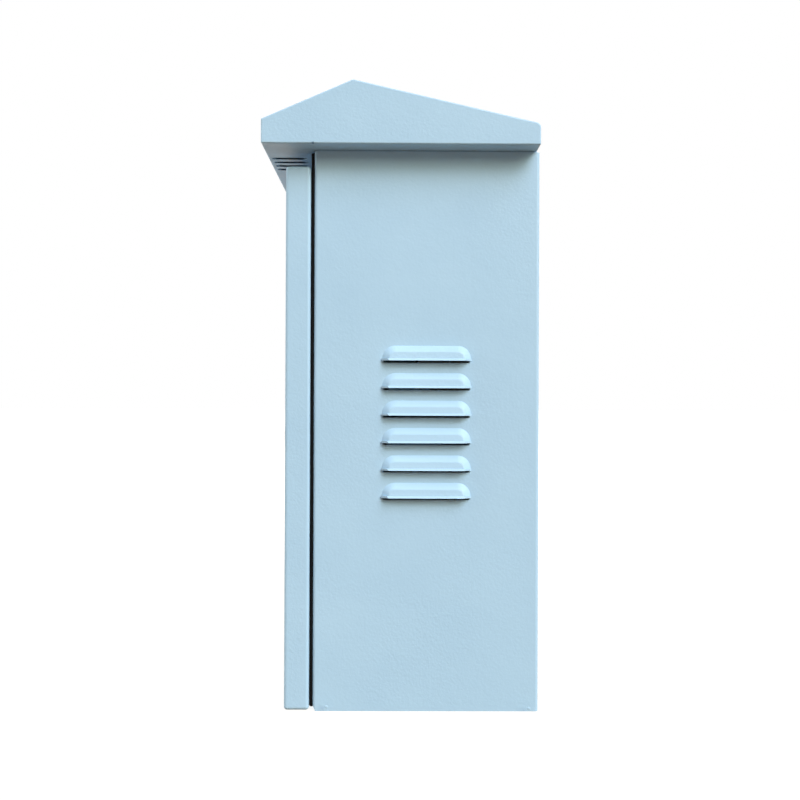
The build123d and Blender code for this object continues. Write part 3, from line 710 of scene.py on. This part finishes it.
def make_nuts(node, direction, bore):
    """Bevelled nuts in place of a node's plain hexagons, each turned its own way."""
    shape = bmesh.new()
    for count, box in enumerate(solids_of(node)):
        thickness = length_along(box, direction)
        turn = Matrix.Rotation(nut_turn * count, 4, "Z")
        nut(shape, below_tip(box, direction, thickness) @ turn, width_across(box, direction), thickness, bore)
    stand_in(node, shape)


def make_stop_screws():
    """Clamp screw in the front of each rail stop."""
    shape = bmesh.new()
    for node in ("left_rail_stop", "right_rail_stop"):
        seat = below_tip(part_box(node), front, 0.0)
        driven_screw(
            shape, seat, stop_screw_radius, stop_screw_head,
            stop_screw_shank, stop_screw_length, cross_recess,
        )
    add_piece("rail_stop_screws", shape, body_of["left_rail_stop"], "fasteners")


def make_hinge_screws(leaf, inset, from_high):
    """Two screws in each leaf of one kind, on its outer face."""
    shape = bmesh.new()
    leaves = [f"{level}_hinge_{leaf}" for level in ("lower", "upper")]
    for node in leaves:
        low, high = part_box(node)
        y = high.y - inset if from_high else low.y + inset
        for z in (low.z + hinge_screw_end, high.z - hinge_screw_end):
            seat = pointing(Vector((high.x - hinge_leaf_thickness, y, z)), left)
            driven_screw(
                shape, seat, hinge_screw_radius, hinge_screw_head,
                hinge_screw_shank, hinge_screw_length, cross_recess,
            )
    add_piece(f"{leaf}_screws", shape, body_of[leaves[0]], "fasteners")


def weld_mark(shape, place, radius):
    """Low round mark of a spot weld."""
    profile = [(radius * radius_share, weld_height * share) for radius_share, share in weld_shares]
    turned(shape, place, profile, weld_steps)


def make_wall_welds():
    """Spot welds at the foot of both side walls."""
    low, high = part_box("body_wrapper")
    shape = bmesh.new()
    for x, direction in ((low.x, left), (high.x, right)):
        for y, z in wall_weld_places:
            weld_mark(shape, pointing(Vector((x, y, z)), direction), wall_weld_radius)
    add_piece("wall_weld_marks", shape, body_of["body_wrapper"], slot_of["body_wrapper"])


def make_brim_welds():
    """Spot welds down both brims of the door's stiffener."""
    low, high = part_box("door_stiffener")
    shape = bmesh.new()
    pitch = (high.z - low.z) / brim_weld_count
    for x in (low.x + brim_weld_inset, high.x - brim_weld_inset):
        for count in range(brim_weld_count):
            place = Vector((x, low.y + brim_sheet, low.z + pitch / 2 + pitch * count))
            weld_mark(shape, pointing(place, rear), brim_weld_radius)
    add_piece("stiffener_weld_marks", shape, body_of["door_stiffener"], slot_of["door_stiffener"])


def seal_strip(shape, low, high, run):
    """Twin-ribbed strip between two corners along one axis, its ribs towards the door."""
    across = z_axis if run == x_axis else x_axis
    rings = []
    for end in (low[run], high[run]):
        ring = []
        for width_share, height_share in seal_shares:
            place = Vector((0, high.y + (low.y - high.y) * height_share, 0))
            place[run] = end
            place[across] = low[across] + (high[across] - low[across]) * width_share
            ring.append(shape.verts.new(place))
        rings.append(ring)
    skin(shape, rings)
    close_ends(shape, rings)


def make_door_seal():
    """Ribbed rubber strips round the door opening, on the front flanges; their near-black foam also paints
    the shade in the door gap.
    """
    low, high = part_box("door_gasket")
    door_low, door_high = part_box("door_panel")
    margin = high.x - seal_width
    inset = door_high.x - high.x
    shape = bmesh.new()
    seal_strip(shape, low, Vector((-margin, high.y, high.z)), z_axis)
    seal_strip(shape, Vector((margin, low.y, low.z)), high, z_axis)
    for z in (door_low.z + inset, door_high.z - inset - seal_width):
        seal_strip(shape, Vector((-margin, low.y, z)), Vector((margin, high.y, z + seal_width)), x_axis)
    stand_in("door_gasket", shape)


def rounded_ring(shape, low, high, inset, height):
    """Closed ring of vertices round a rounded rectangle inside two corners."""
    radius = max(flat_seal_corner - inset, flat_seal_least_corner)
    ring = []
    for quarter, (x_side, y_side) in enumerate(((1, 1), (-1, 1), (-1, -1), (1, -1))):
        x = high.x - inset - radius if x_side > 0 else low.x + inset + radius
        y = high.y - inset - radius if y_side > 0 else low.y + inset + radius
        for step in range(flat_seal_steps + 1):
            turn = (quarter + step / flat_seal_steps) * pi / 2
            ring.append(shape.verts.new((x + radius * cos(turn), y + radius * sin(turn), height)))
    return ring


def make_flat_seal():
    """Flat rubber ring under the gland plate, its edges rounded."""
    low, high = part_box("gland_plate_gasket")
    shape = bmesh.new()
    rings = []
    for inset_share, height_share in flat_seal_shares:
        height = low.z + (high.z - low.z) * height_share
        rings.append(rounded_ring(shape, low, high, flat_seal_width * inset_share, height))
    skin(shape, rings + rings[:1])
    stand_in("gland_plate_gasket", shape)


def make_grommet(node):
    """Stepped rubber grommet with a thin crown to cut for the cable."""
    low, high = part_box(node)
    flange = (high.x - low.x) / 2
    neck_foot = low.z + grommet_lip_height
    neck_top = neck_foot + grommet_neck_height
    flange_top = neck_top + grommet_lip_height
    profile = [
        (grommet_crown, neck_foot),
        (grommet_neck - grommet_lip_height, low.z),
        (grommet_lip - grommet_edge, low.z),
        (grommet_lip, low.z + grommet_edge),
        (grommet_lip, neck_foot),
        (grommet_neck, neck_foot),
        (grommet_neck, neck_top),
        (flange - grommet_edge, neck_top),
        (flange, neck_top + grommet_edge),
        (flange, flange_top - grommet_edge),
        (flange - grommet_edge, flange_top),
    ]
    rise = (high.z - flange_top) / grommet_treads
    shrink = (grommet_neck - grommet_crown) / grommet_treads
    for tread in range(grommet_treads):
        radius = grommet_neck - shrink * tread
        foot = flange_top + rise * tread
        profile.append((radius, foot))
        profile.append((radius - grommet_edge, foot + rise - grommet_edge))
        profile.append((radius - 2 * grommet_edge, foot + rise))
    shape = bmesh.new()
    middle = (low + high) / 2
    turned(shape, Matrix.Translation((middle.x, middle.y, 0)), profile, grommet_steps)
    stand_in(node, shape)


def seen_directly(tree):
    """One where the camera, a reflection or a refraction looks, else zero."""
    path = tree.nodes.new("ShaderNodeLightPath")
    total = path.outputs["Is Camera Ray"]
    for name in ("Is Glossy Ray", "Is Transmission Ray"):
        larger = tree.nodes.new("ShaderNodeMath")
        larger.operation = "MAXIMUM"
        tree.links.new(total, larger.inputs[0])
        tree.links.new(path.outputs[name], larger.inputs[1])
        total = larger.outputs[0]
    return total


def make_world():
    """White where it is looked at, a plain soft and faintly warm light elsewhere."""
    world = bpy.data.worlds.new("studio")
    world.use_nodes = True
    tree = world.node_tree
    background = tree.nodes["Background"]
    seen = seen_directly(tree)
    colour = tree.nodes.new("ShaderNodeMix")
    colour.data_type = "RGBA"
    colour.inputs[mix_first].default_value = opaque(world_colour)
    colour.inputs[mix_second].default_value = opaque(white)
    tree.links.new(seen, colour.inputs[mix_factor])
    tree.links.new(colour.outputs[mix_result], background.inputs["Color"])
    strength = tree.nodes.new("ShaderNodeMapRange")
    strength.inputs["To Min"].default_value = world_light
    strength.inputs["To Max"].default_value = 1.0
    tree.links.new(seen, strength.inputs["Value"])
    tree.links.new(strength.outputs["Result"], background.inputs["Strength"])
    bpy.context.scene.world = world


def floor_material():
    """Matt floor that looks almost white near the cabinet and white further off."""
    material = bpy.data.materials.new("floor")
    material.use_nodes = True
    tree = material.node_tree
    shader = tree.nodes["Principled BSDF"]
    shader.inputs["Base Color"].default_value = opaque(floor_colour)
    shader.inputs["Roughness"].default_value = floor_roughness
    shader.inputs["Emission Color"].default_value = opaque(floor_glow_colour)
    place = tree.nodes.new("ShaderNodeTexCoord")
    distance = tree.nodes.new("ShaderNodeVectorMath")
    distance.operation = "LENGTH"
    tree.links.new(place.outputs["Object"], distance.inputs[0])
    fade = tree.nodes.new("ShaderNodeMapRange")
    fade.inputs["From Min"].default_value = floor_near
    fade.inputs["From Max"].default_value = floor_far
    fade.inputs["To Min"].default_value = floor_glow
    fade.inputs["To Max"].default_value = 1.0
    tree.links.new(distance.outputs["Value"], fade.inputs["Value"])
    glow = tree.nodes.new("ShaderNodeMath")
    glow.operation = "MULTIPLY"
    tree.links.new(fade.outputs["Result"], glow.inputs[0])
    tree.links.new(seen_directly(tree), glow.inputs[1])
    tree.links.new(glow.outputs[0], shader.inputs["Emission Strength"])
    return material


def make_floor():
    """Pale floor that keeps the cabinet's shadow."""
    mesh = bpy.data.meshes.new("floor")
    signs = [(-1, -1), (1, -1), (1, 1), (-1, 1)]
    mesh.from_pydata([(x * floor_half, y * floor_half, 0.0) for x, y in signs], [], [(0, 1, 2, 3)])
    mesh.materials.append(floor_material())
    floor = bpy.data.objects.new("floor", mesh)
    bpy.context.scene.collection.objects.link(floor)


def make_lamp(name, place, power):
    """Square soft box aimed at the cabinet, kept out of reflections."""
    data = bpy.data.lights.new(name, "AREA")
    data.size = side_size
    data.energy = power
    lamp = bpy.data.objects.new(name, data)
    lamp.location = place
    lamp.visible_glossy = False
    lamp.rotation_mode = "QUATERNION"
    lamp.rotation_quaternion = (Vector(lamp_target) - Vector(place)).to_track_quat("-Z", "Y")
    bpy.context.scene.collection.objects.link(lamp)


def make_key(name, elevation, strength, colour):
    """One part of the broad, even key light, as from a large soft box far away."""
    data = bpy.data.lights.new(name, "SUN")
    data.energy = strength
    data.color = colour
    data.angle = radians(key_spread)
    key = bpy.data.objects.new(name, data)
    turn = Matrix.Rotation(radians(right_angle + key_bearing), 4, "Z")
    key.matrix_world = turn @ Matrix.Rotation(radians(right_angle - elevation), 4, "X")
    bpy.context.scene.collection.objects.link(key)


def make_camera():
    """Camera square on to the louvred side, with a slight roll."""
    data = bpy.data.cameras.new("camera")
    data.lens = camera_lens
    data.sensor_width = camera_sensor
    camera = bpy.data.objects.new("camera", data)
    turn = Matrix.Rotation(radians(right_angle - camera_yaw), 4, "Z")
    tilt = Matrix.Rotation(radians(right_angle + camera_pitch), 4, "X")
    roll = Matrix.Rotation(radians(camera_roll), 4, "Z")
    camera.matrix_world = Matrix.Translation(camera_place) @ turn @ tilt @ roll
    bpy.context.scene.collection.objects.link(camera)
    bpy.context.scene.camera = camera


dress_nodes()
make_screws("rail_screws", front, cross_recess)
make_screws("bar_screws", front, slot_recess)
make_screws("breaker_terminal_screws", front, cross_recess)
make_screws("gland_plate_screws", up, cross_recess)
make_screws("lock_cam_screw", rear, cross_recess)
make_screws("roof_bolts", down, socket_recess)
make_studs("plate_studs", front)
make_studs("body_earth_stud", up)
make_studs("door_earth_stud", rear)
make_nuts("plate_nuts", front, stud_bore)
make_nuts("body_earth_nut", up, stud_bore)
make_nuts("door_earth_nut", rear, stud_bore)
make_nuts("lock_nut", rear, lock_bore)
make_stop_screws()
make_wall_welds()
make_brim_welds()
make_hinge_screws("frame_leaf", frame_leaf_screw_inset, True)
make_hinge_screws("door_leaf", door_leaf_screw_inset, False)
make_door_seal()
make_flat_seal()
for grommet in range(grommet_count):
    make_grommet(f"cable_grommet_{grommet + 1}")
make_world()
make_floor()
for key_name, key_part in key_parts.items():
    make_key(key_name, *key_part)
for lamp_name, (lamp_place, lamp_power) in side_lamps.items():
    make_lamp(lamp_name, lamp_place, lamp_power)
make_camera()
bpy.context.scene.view_settings.view_transform = "Standard"
